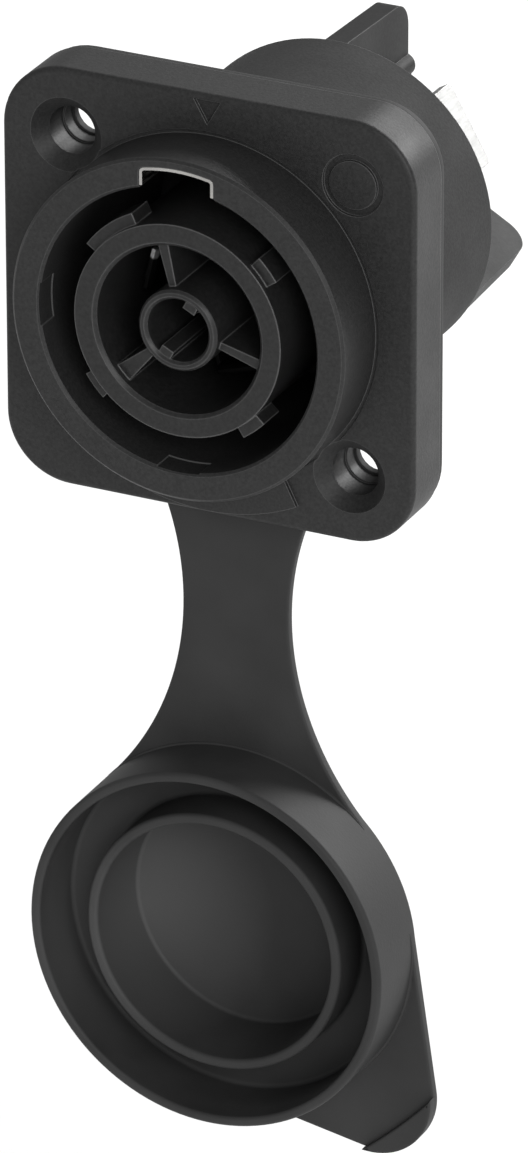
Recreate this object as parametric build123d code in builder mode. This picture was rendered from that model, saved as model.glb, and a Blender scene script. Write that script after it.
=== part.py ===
from build123d import *
from math import asin, cos, degrees, radians, sin, sqrt
import os

# Locking panel power socket with a hinged rubber sealing cover, in millimetres.
# The socket looks towards -Y, its barrel goes through the panel towards +Y, and +Z is up.
# The origin is on the socket's axis, in the face that seats on the panel.

os.makedirs("parts", exist_ok=True)

# Square flange, with two countersunk screw holes on one diagonal
flange_size = 31.0
flange_depth = 4.1
flange_corner = 4.8
flange_edge_round = 0.35
hole_spacing = 21.3
screw_bore = 3.2
screw_step_bore = 3.5
screw_step_depth = 3.0
screw_cone_diameter = 5.4
screw_cone_angle = 90.0

# Round boss in front of the flange and plain barrel behind it
boss_diameter = 25.0
boss_height = 4.8
boss_edge_chamfer = 0.2
barrel_diameter = 23.9
barrel_length = 15.3
mouth_diameter = 20.8
mouth_chamfer = 0.2
base_groove_width = 0.3
base_groove_depth = 0.15

# Keyway at the top of the mouth, and shallow notches on its left and lower sides
keyway_width = 5.6
keyway_radius = 11.85
keyway_length = 8.7
keyway_corner_round = 0.4
notch_width = 3.2
notch_depth = 0.08
notch_length = 2.0
notch_turns = (180.0, 270.0)

# Marks on the flange: a plain triangle, a plain round pad and a raised arc under the boss
triangle_width = 2.0
triangle_height = 1.75
triangle_tip = 13.3
mark_depth = 0.25
pad_offset = 10.85
pad_diameter = 4.5
pad_groove = 0.5
arc_outer_radius = 15.2
arc_half_angle = 26.5
arc_height = 0.3

# Folded steel keeper that lines the keyway, with a catch window in its roof
keeper_thickness = 0.22
keeper_leg = 1.25
keeper_gap = 0.03
window_width = 3.0
window_length = 2.4
window_from_front = 3.4

# Contact carrier: base disc, inner tube, central tube, ribs, lugs, two keys and a stop on one key
carrier_seat_depth = 18.7
carrier_disc_depth = 3.0
carrier_disc_wall = 1.05
fit_gap = 0.1
inner_tube_diameter = 15.5
inner_tube_wall = 1.6
inner_tube_chamfer = 0.25
central_tube_diameter = 5.9
central_tube_wall = 0.65
central_tube_chamfer = 0.2
central_bore_depth = 14.0
face_setback = 0.05
rib_turn = 103.5
rib_outer_width = 0.8
rib_inner_width = 0.5
wide_rib_outer_width = 1.4
rib_setback = 0.8
lug_height = 0.85
lug_setback = 0.55
lug_length = 2.4
lug_turn = 40.0
lug_angle = 13.4
wide_lug_angle = 30.0
key_turn = 63.0
key_width = 0.95
key_height = 0.6
key_length = 8.0
key_setback = 0.2
stop_height = 0.95
stop_length = 6.9
stop_setback = 1.4

# Ring seal in the rim of the carrier's disc
seal_section = 1.0
seal_groove_width = 1.3
seal_gap = 0.05
seal_groove_from_front = 0.8

# Contacts: a two-bladed fork in each chamber, a foot, and a flat tab at the back
fork_turn = 17.0
fork_radius = 4.4
fork_gap = 1.0
fork_blade = 0.5
fork_width = 3.2
fork_setback = 6.2
fork_lead_in = 0.25
foot_thickness = 0.8
tab_width = 6.3
tab_thickness = 0.8
tab_radius = 6.6
tab_length = 9.45
tab_corner = 0.3
tab_hole = 1.6
tab_hole_from_end = 3.5
tab_angles = {"live": 150.0, "neutral": 270.0, "earth": 30.0}

# Spring clip round each fork
clip_thickness = 0.3
clip_length = 3.5
clip_from_tip = 0.8
clip_return = 1.2
clip_gap = 0.05

# Rear insulator: a disc that closes the barrel, and three fins between the tabs
insulator_recess = 0.3
insulator_rim_width = 1.0
slot_gap = 0.1
fin_turn = 90.0
fin_count = 3
fin_thickness = 1.7
fin_reach = 10.1
fin_root_radius = 11.85
fin_tip_radius = 11.5
fin_corner = 2.0
web_thickness = 2.2
bead_radius = 6.6
bead_width = 2.8
bead_height = 1.7

# Rubber sealing cover: gasket, strap and cap in one moulding, cut at the fold for its hinge
gasket_depth = 0.8
gasket_collar_width = 0.45
gasket_bore_gap = 0.15
gasket_hole = 4.2
strap_waist = 8.1
strap_waist_z = -24.6

# Cap, as it hangs open below the flange
cap_z = -48.8
cap_shut_rise = 0.12
cap_diameter = 27.2
cap_bore = 25.7
cap_wall_height = 5.2
cap_edge_round = 0.3
cap_ring_diameter = 19.7
cap_ring_bore = 18.1
cap_ring_setback = 1.45
cap_channel_floor = 0.9
cap_floor_depth = 1.7
cap_floor_dish = 0.4
cap_back_depth = 2.9
cap_back_diameter = 20.6
cap_back_round = 0.6
tab_turn = -46.0
tab_reach = 15.3
tab_tip_radius = 4.7
lip_reach = 18.4
lip_height = 0.6
lip_bow = 40.0

# How far a cut runs past a surface, and how far a feature is sunk into what carries it
cut_past = 1.0
sink = 0.3

# Levels along the socket's axis
panel_face = 0.0
flange_back = panel_face - gasket_depth
flange_front = flange_back - flange_depth
boss_front = flange_front - boss_height
barrel_back = panel_face + barrel_length
carrier_seat = boss_front + carrier_seat_depth
carrier_back = carrier_seat + carrier_disc_depth
tube_front = boss_front + face_setback
fork_front = tube_front + fork_setback
foot_back = carrier_back + foot_thickness
insulator_front = foot_back + fit_gap
insulator_back = barrel_back - insulator_recess
fin_back = barrel_back + fin_reach
tab_back = insulator_back + tab_length

# Radii worked out from the sizes above
barrel_radius = barrel_diameter / 2
collar_radius = barrel_radius + gasket_collar_width
seat_radius = barrel_radius - carrier_disc_wall
disc_radius = seat_radius - fit_gap
mouth_radius = mouth_diameter / 2
notch_span = degrees(notch_width / mouth_radius)
inner_tube_radius = inner_tube_diameter / 2
inner_bore_radius = inner_tube_radius - inner_tube_wall
lug_radius = inner_tube_radius + lug_height
central_tube_radius = central_tube_diameter / 2
central_bore_radius = central_tube_radius - central_tube_wall
cap_radius = cap_diameter / 2
hole_place = hole_spacing / 2
strap_arc = ((strap_waist / 2) ** 2 + (strap_waist_z - cap_z) ** 2 - cap_radius ** 2) / (
    2 * cap_radius - strap_waist
)
fold_z = (cap_z + cap_shut_rise) / 2


def facing(y, turn=0.0):
    """Plane across the socket's axis at depth y, seen from the front and turned about the axis."""
    a = radians(turn)
    return Plane(origin=(0, y, 0), x_dir=(cos(a), 0, sin(a)), z_dir=(0, -1, 0))


def along(turn):
    """Plane through the axis: its x runs outward at the turn given, its y to the back."""
    a = radians(turn)
    return Plane(origin=(0, 0, 0), x_dir=(cos(a), 0, sin(a)), z_dir=(-sin(a), 0, cos(a)))


def sector(inner, outer, middle, span):
    """Part of a flat ring about the origin, of the span given in degrees round its middle."""
    with BuildSketch() as shape:
        with BuildLine():
            first = CenterArc((0, 0), outer, middle - span / 2, span)
            second = CenterArc((0, 0), inner, middle - span / 2, span)
            Line(first @ 0, second @ 0)
            Line(first @ 1, second @ 1)
        make_face()
    return shape.sketch


def arched(width, radius, foot, corner_round):
    """Upright shape as wide as given, from a level to an arched top round the origin."""
    with BuildSketch() as shape:
        with Locations((0, foot)):
            Rectangle(width, radius - foot, align=(Align.CENTER, Align.MIN))
        Circle(radius, mode=Mode.INTERSECT)
        fillet(shape.vertices().group_by(Axis.Y)[-1], corner_round)
    return shape.sketch


# Front housing: flange, boss, barrel and the low collar that centres the gasket, in one moulding
with BuildPart() as front_housing:
    with BuildSketch(facing(flange_back)):
        RectangleRounded(flange_size, flange_size, flange_corner)
    extrude(amount=flange_depth)
    fillet(front_housing.edges().group_by(Axis.Y)[0], flange_edge_round)
    with BuildSketch(facing(barrel_back)):
        Circle(barrel_radius)
    extrude(amount=barrel_back - flange_back)
    with BuildSketch(facing(panel_face)):
        Circle(collar_radius)
    extrude(amount=gasket_depth)
    with BuildSketch(facing(flange_front)):
        Circle(boss_diameter / 2 + base_groove_width)
    extrude(amount=-base_groove_depth, mode=Mode.SUBTRACT)
    with BuildSketch(facing(flange_front)):
        add(sector(mouth_radius, arc_outer_radius, -90, 2 * arc_half_angle))
    extrude(amount=arc_height)
    with BuildSketch(facing(flange_front + base_groove_depth)):
        Circle(boss_diameter / 2)
    extrude(amount=boss_height + base_groove_depth)
    chamfer(front_housing.edges().group_by(Axis.Y)[0], boss_edge_chamfer)
    with BuildSketch(facing(barrel_back)):
        Circle(mouth_radius)
    extrude(amount=barrel_back - boss_front, mode=Mode.SUBTRACT)
    chamfer(front_housing.edges().group_by(Axis.Y)[0].sort_by(SortBy.RADIUS)[0], mouth_chamfer)
    with BuildSketch(facing(barrel_back)):
        Circle(seat_radius)
    extrude(amount=barrel_back - carrier_seat, mode=Mode.SUBTRACT)
    with BuildSketch(facing(boss_front)):
        add(arched(keyway_width, keyway_radius, 0, keyway_corner_round))
    extrude(amount=-keyway_length, mode=Mode.SUBTRACT)
    with BuildSketch(facing(boss_front)):
        for turn in notch_turns:
            add(sector(mouth_radius - sink, mouth_radius + notch_depth, turn, notch_span))
    extrude(amount=-notch_length, mode=Mode.SUBTRACT)
    with BuildSketch(facing(flange_front)):
        with Locations((pad_offset, pad_offset)):
            Circle(pad_diameter / 2)
            Circle(pad_diameter / 2 - pad_groove, mode=Mode.SUBTRACT)
        Polygon(
            (0, triangle_tip),
            (triangle_width / 2, triangle_tip + triangle_height),
            (-triangle_width / 2, triangle_tip + triangle_height),
            align=None,
        )
    extrude(amount=-mark_depth, mode=Mode.SUBTRACT)
    with Locations(facing(flange_front)):
        with Locations((-hole_place, hole_place), (hole_place, -hole_place)):
            CounterSinkHole(
                screw_step_bore / 2, screw_cone_diameter / 2, screw_step_depth, screw_cone_angle
            )
            Hole(screw_bore / 2, flange_depth + cut_past)
front_housing.part.label = "front_housing"
export_step(front_housing.part, "parts/front_housing.step")

# Latch keeper: a folded steel strip in the keyway
keeper_width = keyway_width - 2 * keeper_gap
keeper_radius = keyway_radius - keeper_gap
keeper_foot = sqrt(keeper_radius ** 2 - (keeper_width / 2) ** 2) - keeper_leg
keeper_corner_round = keyway_corner_round - keeper_thickness
with BuildPart() as latch_keeper:
    with BuildSketch(facing(boss_front + face_setback)):
        add(arched(keeper_width, keeper_radius, keeper_foot, keyway_corner_round))
        add(
            arched(
                keeper_width - 2 * keeper_thickness,
                keeper_radius - keeper_thickness,
                0,
                keeper_corner_round,
            ),
            mode=Mode.SUBTRACT,
        )
    extrude(amount=-(keyway_length - face_setback - keeper_gap))
    with BuildSketch(Plane.XY.offset(keeper_foot + keeper_leg / 2)):
        with Locations((0, boss_front + window_from_front + window_length / 2)):
            Rectangle(window_width, window_length)
    extrude(amount=2 * keeper_leg, mode=Mode.SUBTRACT)
latch_keeper.part.label = "latch_keeper"
export_step(latch_keeper.part, "parts/latch_keeper.step")

# Contact carrier: three chambers round a central tube, with lugs on the outside
lug_shapes = [
    (lug_turn + 90 * n, wide_lug_angle if n == 1 else lug_angle)
    for n in range(4)
]
rib_outer_widths = (rib_outer_width, wide_rib_outer_width, rib_outer_width)
key_shapes = (
    (key_turn, key_setback, key_length, key_height),
    (key_turn + 180, key_setback, key_length, key_height),
    (key_turn, stop_setback, stop_length, stop_height),
)
chamber_turns = [angle + fork_turn for angle in tab_angles.values()]
seal_groove_front = carrier_seat + seal_groove_from_front
seal_groove_radius = seat_radius - seal_gap - seal_section - seal_gap
with BuildPart() as contact_carrier:
    with BuildSketch(facing(carrier_back)):
        Circle(disc_radius)
    extrude(amount=carrier_disc_depth)
    with BuildSketch(facing(seal_groove_front + seal_groove_width)):
        Circle(disc_radius + cut_past)
        Circle(seal_groove_radius, mode=Mode.SUBTRACT)
    extrude(amount=seal_groove_width, mode=Mode.SUBTRACT)
    with BuildSketch(facing(carrier_seat)):
        Circle(inner_tube_radius)
    extrude(amount=carrier_seat - tube_front)
    with BuildSketch(facing(carrier_seat)):
        Circle(inner_bore_radius)
    extrude(amount=carrier_seat - tube_front, mode=Mode.SUBTRACT)
    chamfer(contact_carrier.edges().group_by(Axis.Y)[0].sort_by(SortBy.RADIUS)[0], inner_tube_chamfer)
    with BuildSketch(facing(carrier_seat)):
        Circle(central_tube_radius)
    extrude(amount=carrier_seat - tube_front)
    with BuildSketch(facing(tube_front)):
        Circle(central_bore_radius)
    extrude(amount=-central_bore_depth, mode=Mode.SUBTRACT)
    chamfer(contact_carrier.edges().group_by(Axis.Y)[0].sort_by(SortBy.RADIUS)[0:2], central_tube_chamfer)
    for turn, span in lug_shapes:
        with BuildSketch(facing(tube_front + lug_setback + lug_length)):
            add(sector(inner_tube_radius - sink, lug_radius, turn, span))
        extrude(amount=lug_length)
    for n, outer_width in enumerate(rib_outer_widths):
        with BuildSketch(facing(carrier_seat, rib_turn + 360 / len(rib_outer_widths) * n)):
            Polygon(
                (central_tube_radius - sink, -rib_inner_width / 2),
                (inner_bore_radius + sink, -outer_width / 2),
                (inner_bore_radius + sink, outer_width / 2),
                (central_tube_radius - sink, rib_inner_width / 2),
                align=None,
            )
        extrude(amount=carrier_seat - tube_front - rib_setback)
    for turn, setback, length, height in key_shapes:
        with BuildSketch(facing(tube_front + setback + length, turn)):
            with Locations((central_bore_radius - height, 0)):
                Rectangle(height + sink, key_width, align=(Align.MIN, Align.CENTER))
        extrude(amount=length)
    for turn in chamber_turns:
        with BuildSketch(facing(carrier_back, turn)):
            with Locations((fork_radius, 0)):
                Rectangle(fork_gap + 2 * (fork_blade + slot_gap), fork_width + 2 * slot_gap)
        extrude(amount=carrier_disc_depth, mode=Mode.SUBTRACT)
contact_carrier.part.label = "contact_carrier"
export_step(contact_carrier.part, "parts/contact_carrier.step")

# Ring seal round the carrier's disc
seal_middle = seal_groove_front + seal_groove_width / 2
seal_radius = seat_radius - seal_gap - seal_section / 2
with BuildPart() as carrier_seal:
    with BuildSketch(Plane.XY):
        with Locations((seal_radius, seal_middle)):
            Circle(seal_section / 2)
    revolve(axis=Axis.Y)
carrier_seal.part.label = "carrier_seal"
export_step(carrier_seal.part, "parts/carrier_seal.step")

# Rear insulator: disc, rim and three fins with thick roots
with BuildPart() as rear_insulator:
    with BuildSketch(facing(insulator_back)):
        Circle(disc_radius)
    extrude(amount=insulator_back - carrier_back)
    with BuildSketch(facing(carrier_back)):
        Circle(disc_radius - insulator_rim_width)
    extrude(amount=-(insulator_front - carrier_back), mode=Mode.SUBTRACT)
    for n in range(fin_count):
        fin_angle = fin_turn + 360 / fin_count * n
        with BuildSketch(along(fin_angle)) as fin_outline:
            Polygon(
                (0, insulator_back - sink),
                (disc_radius - fit_gap, insulator_back - sink),
                (disc_radius - fit_gap, barrel_back + fit_gap),
                (fin_root_radius, barrel_back + fit_gap),
                (fin_tip_radius, fin_back),
                (0, fin_back),
                align=None,
            )
            fillet(fin_outline.vertices().sort_by(Axis.Y)[-2:].sort_by(Axis.X)[-1], fin_corner)
        extrude(amount=fin_thickness / 2, both=True)
        with BuildSketch(facing(fin_back, fin_angle)):
            Rectangle(bead_radius, web_thickness, align=(Align.MIN, Align.CENTER))
            with Locations((bead_radius, 0)):
                SlotOverall(bead_width, bead_height, rotation=90)
        extrude(amount=fin_back - insulator_back + sink)
    for angle in tab_angles.values():
        with BuildSketch(facing(insulator_back, angle)):
            with Locations((tab_radius, 0)):
                Rectangle(tab_thickness + 2 * slot_gap, tab_width + 2 * slot_gap)
        extrude(amount=insulator_back - insulator_front, mode=Mode.SUBTRACT)
rear_insulator.part.label = "rear_insulator"
export_step(rear_insulator.part, "parts/rear_insulator.step")

# Contacts and their spring clips, one set to each tab
blade_places = (fork_gap + fork_blade) / 2
for pole, angle in tab_angles.items():
    with BuildPart() as contact:
        with BuildSketch(facing(foot_back, angle)):
            with Locations((tab_radius, 0)):
                Rectangle(tab_thickness, tab_width)
            with PolarLocations(fork_radius, 1, start_angle=fork_turn):
                Rectangle(fork_gap + 2 * fork_blade, fork_width)
            make_hull()
        extrude(amount=foot_thickness)
        with BuildSketch(facing(carrier_back, angle + fork_turn)):
            with Locations((fork_radius - blade_places, 0), (fork_radius + blade_places, 0)):
                Rectangle(fork_blade, fork_width)
        extrude(amount=carrier_back - fork_front)
        tips = contact.edges().group_by(Axis.Y)[0].group_by(SortBy.LENGTH)[-1]
        reach = [(edge, (edge @ 0.5).X ** 2 + (edge @ 0.5).Z ** 2) for edge in tips]
        inside = [edge for edge, _ in sorted(reach, key=lambda pair: pair[1])[1:3]]
        chamfer(inside, fork_lead_in)
        side = Plane(
            origin=along(angle).from_local_coords((tab_radius - tab_thickness / 2, carrier_back, 0)),
            x_dir=(sin(radians(angle)), 0, -cos(radians(angle))),
            z_dir=(cos(radians(angle)), 0, sin(radians(angle))),
        )
        tab_run = tab_back - carrier_back
        with BuildSketch(side) as tab_outline:
            Rectangle(tab_width, tab_run, align=(Align.CENTER, Align.MIN))
            chamfer(tab_outline.vertices().group_by(Axis.Y)[-1], tab_corner)
            with Locations((0, tab_run - tab_hole_from_end)):
                Circle(tab_hole / 2, mode=Mode.SUBTRACT)
        extrude(amount=tab_thickness)
    contact.part.label = pole + "_contact"
    export_step(contact.part, "parts/" + contact.part.label + ".step")

    clip_inside = fork_gap + 2 * (fork_blade + clip_gap)
    clip_outside = clip_inside + 2 * clip_thickness
    clip_web = fork_width / 2 + clip_gap
    with BuildPart() as spring:
        with BuildSketch(facing(fork_front + clip_from_tip + clip_length, angle + fork_turn)):
            with Locations((fork_radius, -clip_web - clip_thickness)):
                Rectangle(
                    clip_outside,
                    clip_web + clip_thickness + clip_return,
                    align=(Align.CENTER, Align.MIN),
                )
            with Locations((fork_radius, -clip_web)):
                Rectangle(
                    clip_inside,
                    clip_web + clip_return,
                    align=(Align.CENTER, Align.MIN),
                    mode=Mode.SUBTRACT,
                )
        extrude(amount=clip_length)
    spring.part.label = pole + "_spring"
    export_step(spring.part, "parts/" + spring.part.label + ".step")

# Outline of the sealing cover, seen from the front: plate, strap and cap
strap_centre = strap_waist / 2 + strap_arc
join_turn = degrees(asin((strap_waist_z - cap_z) / (strap_arc + cap_radius)))
join_x = cap_radius * cos(radians(join_turn))
join_z = cap_z + cap_radius * sin(radians(join_turn))
root_z = -flange_size / 2 + flange_edge_round
root_x = strap_centre - sqrt(strap_arc ** 2 - (root_z - strap_waist_z) ** 2)
fold_x = strap_centre - sqrt(strap_arc ** 2 - (fold_z - strap_waist_z) ** 2)


def strap_piece(top_x, top_z, bottom_x, bottom_z):
    """Stretch of the strap between two levels, with its two concave sides."""
    with BuildSketch() as shape:
        with BuildLine():
            Line((-top_x, top_z), (top_x, top_z))
            RadiusArc((top_x, top_z), (bottom_x, bottom_z), -strap_arc)
            Line((bottom_x, bottom_z), (-bottom_x, bottom_z))
            RadiusArc((-bottom_x, bottom_z), (-top_x, top_z), -strap_arc)
        make_face()
    return shape.sketch


# Gasket and the fixed half of the strap
with BuildPart() as cover_gasket:
    with BuildSketch(facing(panel_face)):
        RectangleRounded(flange_size, flange_size, flange_corner)
        add(strap_piece(root_x, root_z, fold_x, fold_z))
        Circle(collar_radius + gasket_bore_gap, mode=Mode.SUBTRACT)
        with Locations((-hole_place, hole_place), (hole_place, -hole_place)):
            Circle(gasket_hole / 2, mode=Mode.SUBTRACT)
    extrude(amount=gasket_depth)
cover_gasket.part.label = "cover_gasket"
export_step(cover_gasket.part, "parts/cover_gasket.step")

# Cap with its half of the strap and the pull tab
cap_rim = panel_face - gasket_depth - cap_wall_height
cap_axis = Axis((0, 0, cap_z), (0, 1, 0))
with BuildPart() as cover_cap:
    with BuildSketch(Plane.XY.offset(cap_z)):
        with BuildLine():
            Polyline(
                (0, cap_back_depth),
                (cap_back_diameter / 2, cap_back_depth),
                (cap_back_diameter / 2, panel_face),
                (cap_radius, panel_face),
                (cap_radius, cap_rim),
                (cap_bore / 2, cap_rim),
                (cap_bore / 2, -cap_channel_floor),
                (cap_ring_diameter / 2, -cap_channel_floor),
                (cap_ring_diameter / 2, cap_rim + cap_ring_setback),
                (cap_ring_bore / 2, cap_rim + cap_ring_setback),
                (cap_ring_bore / 2, cap_floor_depth),
            )
            floor = SagittaArc(
                (cap_ring_bore / 2, cap_floor_depth),
                (-cap_ring_bore / 2, cap_floor_depth),
                -cap_floor_dish,
                mode=Mode.PRIVATE,
            )
            ThreePointArc(floor @ 0, floor @ 0.25, floor @ 0.5)
            Line(floor @ 0.5, (0, cap_back_depth))
        make_face()
        rim_corners, ring_corners = vertices().group_by(Axis.Y)[0:2]
        fillet(rim_corners + ring_corners, cap_edge_round)
    revolve(axis=cap_axis)
    fillet(cover_cap.edges().group_by(Axis.Y)[-1], cap_back_round)
    with BuildSketch(facing(panel_face)):
        add(strap_piece(fold_x, fold_z, join_x, join_z))
        with Locations((0, cap_z)):
            Circle(cap_radius - sink, mode=Mode.SUBTRACT)
    extrude(amount=gasket_depth)
    tab_plane = Plane(
        origin=(0, panel_face, cap_z),
        x_dir=(cos(radians(tab_turn)), 0, sin(radians(tab_turn))),
        z_dir=(0, -1, 0),
    )
    with BuildSketch(tab_plane):
        with Locations((tab_reach, 0)):
            Circle(tab_tip_radius)
        Circle(cap_radius)
        make_hull()
        Circle(cap_radius - sink, mode=Mode.SUBTRACT)
    extrude(amount=gasket_depth)
    with BuildSketch(tab_plane.offset(gasket_depth)):
        with Locations((tab_reach, 0)):
            Circle(tab_tip_radius)
        with Locations((lip_reach - lip_bow, 0)):
            Circle(lip_bow, mode=Mode.SUBTRACT)
    extrude(amount=lip_height)
cover_cap.part.label = "cover_cap"
export_step(cover_cap.part, "parts/cover_cap.step")
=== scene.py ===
"""Looks of a locking panel power socket with a rubber sealing cover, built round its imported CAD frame.

Sizes in the classes are in millimetres and degrees. They become metres where a mesh is made.
The socket looks towards -Y, its barrel goes through the panel towards +Y, and +Z is up.
"""

import logging
import math
from dataclasses import dataclass
from enum import Enum
from typing import Sequence

import bmesh
import bpy
from mathutils import Matrix, Vector
from mathutils.geometry import delaunay_2d_cdt


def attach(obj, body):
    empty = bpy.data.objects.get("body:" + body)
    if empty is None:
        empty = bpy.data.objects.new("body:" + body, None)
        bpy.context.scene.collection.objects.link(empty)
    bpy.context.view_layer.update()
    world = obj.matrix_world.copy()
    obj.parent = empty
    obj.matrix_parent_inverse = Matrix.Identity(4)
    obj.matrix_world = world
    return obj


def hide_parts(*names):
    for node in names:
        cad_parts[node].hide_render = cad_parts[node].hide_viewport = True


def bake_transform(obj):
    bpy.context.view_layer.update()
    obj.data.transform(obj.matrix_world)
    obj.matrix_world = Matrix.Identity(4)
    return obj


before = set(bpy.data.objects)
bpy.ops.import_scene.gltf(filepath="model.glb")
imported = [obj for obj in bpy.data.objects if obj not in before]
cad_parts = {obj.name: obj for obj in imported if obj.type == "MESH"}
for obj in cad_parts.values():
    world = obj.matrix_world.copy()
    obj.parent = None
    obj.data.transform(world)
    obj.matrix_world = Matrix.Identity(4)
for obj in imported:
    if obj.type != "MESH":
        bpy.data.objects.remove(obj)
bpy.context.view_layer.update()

MM = 0.001
# Metres within which the seam and the poles of a turned piece are joined
JOIN_WITHIN = 0.2e-6
# Millimetres within which two points of a flat face are one
FILL_WITHIN = 1e-5
log = logging.getLogger("socket")

Point = tuple[float, float]
Colour = tuple[float, float, float, float]


class Body(Enum):
    """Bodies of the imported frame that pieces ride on."""

    SOCKET = "socket"
    CAP = "cap"


# Finishes


class ShaderTree:
    """One material's node tree, with short ways to add its nodes and join them."""

    def __init__(self, name: str) -> None:
        """Starts a material that holds one Principled shader.

        Args:
            name: the material's name.
        """
        self.material = bpy.data.materials.new(name)
        self.material.use_nodes = True
        self.nodes = self.material.node_tree.nodes
        self.links = self.material.node_tree.links
        self.nodes.clear()
        self.shader = self.nodes.new("ShaderNodeBsdfPrincipled")
        output = self.nodes.new("ShaderNodeOutputMaterial")
        self.links.new(self.shader.outputs["BSDF"], output.inputs["Surface"])
        self.place = self.nodes.new("ShaderNodeTexCoord").outputs["Object"]

    def fixed(self, **values: float | Colour) -> None:
        """Sets constant values on the shader's own sockets, named with underscores for spaces."""
        for name, value in values.items():
            self.shader.inputs[name.replace("_", " ")].default_value = value

    def drive(self, name: str, source: bpy.types.NodeSocket) -> None:
        """Joins a node's output to one of the shader's sockets."""
        self.links.new(source, self.shader.inputs[name])

    def stretched(self, scale: Sequence[float]) -> bpy.types.NodeSocket:
        """Object coordinates stretched along the three axes.

        Args:
            scale: factor along each axis.

        Returns:
            The stretched coordinates.
        """
        mapping = self.nodes.new("ShaderNodeMapping")
        mapping.inputs["Scale"].default_value = tuple(scale)
        self.links.new(self.place, mapping.inputs["Vector"])
        return mapping.outputs["Vector"]

    def noise(
        self, size: float, detail: float = 3.0, rough: float = 0.55, at: bpy.types.NodeSocket | None = None
    ) -> bpy.types.NodeSocket:
        """Noise whose largest lumps are of the size given.

        Args:
            size: size of a lump, in millimetres.
            detail: how many finer layers it has.
            rough: how strong the finer layers are.
            at: coordinates, or None for Object coordinates.

        Returns:
            The noise's value.
        """
        node = self.nodes.new("ShaderNodeTexNoise")
        node.inputs["Scale"].default_value = 1 / (size * MM)
        node.inputs["Detail"].default_value = detail
        node.inputs["Roughness"].default_value = rough
        self.links.new(at or self.place, node.inputs["Vector"])
        return node.outputs["Fac"]

    def spread(
        self, source: bpy.types.NodeSocket, low: float, high: float, start: float = 0.3, end: float = 0.7
    ) -> bpy.types.NodeSocket:
        """Maps a value from one range to another.

        Args:
            source: the value.
            low: result at the range's start.
            high: result at the range's end.
            start: start of the range that is read.
            end: end of the range that is read.

        Returns:
            The mapped value.
        """
        node = self.nodes.new("ShaderNodeMapRange")
        for name, value in (("From Min", start), ("From Max", end), ("To Min", low), ("To Max", high)):
            node.inputs[name].default_value = value
        self.links.new(source, node.inputs["Value"])
        return node.outputs["Result"]

    def depth(self) -> bpy.types.NodeSocket:
        """Distance behind the panel face, in millimetres.

        Returns:
            The distance.
        """
        apart = self.nodes.new("ShaderNodeSeparateXYZ")
        self.links.new(self.stretched((1 / MM, 1 / MM, 1 / MM)), apart.inputs[0])
        return apart.outputs["Y"]

    def distance(self, point: Sequence[float]) -> bpy.types.NodeSocket:
        """Distance from a point, both in millimetres.

        Args:
            point: the point.

        Returns:
            The distance.
        """
        node = self.nodes.new("ShaderNodeVectorMath")
        node.operation = "DISTANCE"
        self.links.new(self.stretched((1 / MM, 1 / MM, 1 / MM)), node.inputs[0])
        node.inputs[1].default_value = tuple(point)
        return node.outputs["Value"]

    def maths(
        self, operation: str, first: bpy.types.NodeSocket, second: bpy.types.NodeSocket | float = 0.0
    ) -> bpy.types.NodeSocket:
        """One Math node.

        Args:
            operation: what it does.
            first: its first value.
            second: its second value.

        Returns:
            Its result.
        """
        node = self.nodes.new("ShaderNodeMath")
        node.operation = operation
        self.links.new(first, node.inputs[0])
        if isinstance(second, bpy.types.NodeSocket):
            self.links.new(second, node.inputs[1])
        else:
            node.inputs[1].default_value = second
        return node.outputs[0]

    def between(
        self,
        share: bpy.types.NodeSocket,
        first: Colour | bpy.types.NodeSocket,
        second: Colour | bpy.types.NodeSocket,
    ) -> bpy.types.NodeSocket:
        """Colour between two, by a share.

        Args:
            share: 0 for the first colour, 1 for the second.
            first: one colour, or where it comes from.
            second: the other colour, or where it comes from.

        Returns:
            The mixed colour.
        """
        node = self.nodes.new("ShaderNodeMix")
        node.data_type = "RGBA"
        sockets = {socket.identifier: socket for socket in node.inputs}
        for identifier, colour in (("A_Color", first), ("B_Color", second)):
            if isinstance(colour, bpy.types.NodeSocket):
                self.links.new(colour, sockets[identifier])
            else:
                sockets[identifier].default_value = colour
        self.links.new(share, node.inputs["Factor"])
        return next(s for s in node.outputs if s.identifier == "Result_Color")

    def soft_edges(self, radius: float) -> bpy.types.NodeSocket:
        """Normals that round every edge by a radius in millimetres.

        Args:
            radius: the round's radius.

        Returns:
            The normals.
        """
        node = self.nodes.new("ShaderNodeBevel")
        node.samples = 6
        node.inputs["Radius"].default_value = radius * MM
        return node.outputs["Normal"]

    def edges(self, rounded: bpy.types.NodeSocket) -> bpy.types.NodeSocket:
        """Share of painted highlight on an edge, from how far its rounded normals turn from the surface's
        own.

        Args:
            rounded: the rounded normals.

        Returns:
            0 on a flat face, 1 on the edge.
        """
        across = self.nodes.new("ShaderNodeVectorMath")
        across.operation = "DOT_PRODUCT"
        self.links.new(rounded, across.inputs[0])
        self.links.new(self.nodes.new("ShaderNodeNewGeometry").outputs["Normal"], across.inputs[1])
        return self.spread(across.outputs["Value"], 1.0, 0.0, 0.8, 0.99)

    def bump(
        self, height: bpy.types.NodeSocket, depth: float, under: bpy.types.NodeSocket | None = None
    ) -> bpy.types.NodeSocket:
        """Normals of a bumpy surface.

        Args:
            height: the bumps' height, from 0 to 1.
            depth: what a height of 1 is, in millimetres.
            under: normals of the surface that carries the bumps.

        Returns:
            The normals.
        """
        node = self.nodes.new("ShaderNodeBump")
        node.inputs["Distance"].default_value = depth * MM
        self.links.new(height, node.inputs["Height"])
        if under is not None:
            self.links.new(under, node.inputs["Normal"])
        return node.outputs["Normal"]


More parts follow.
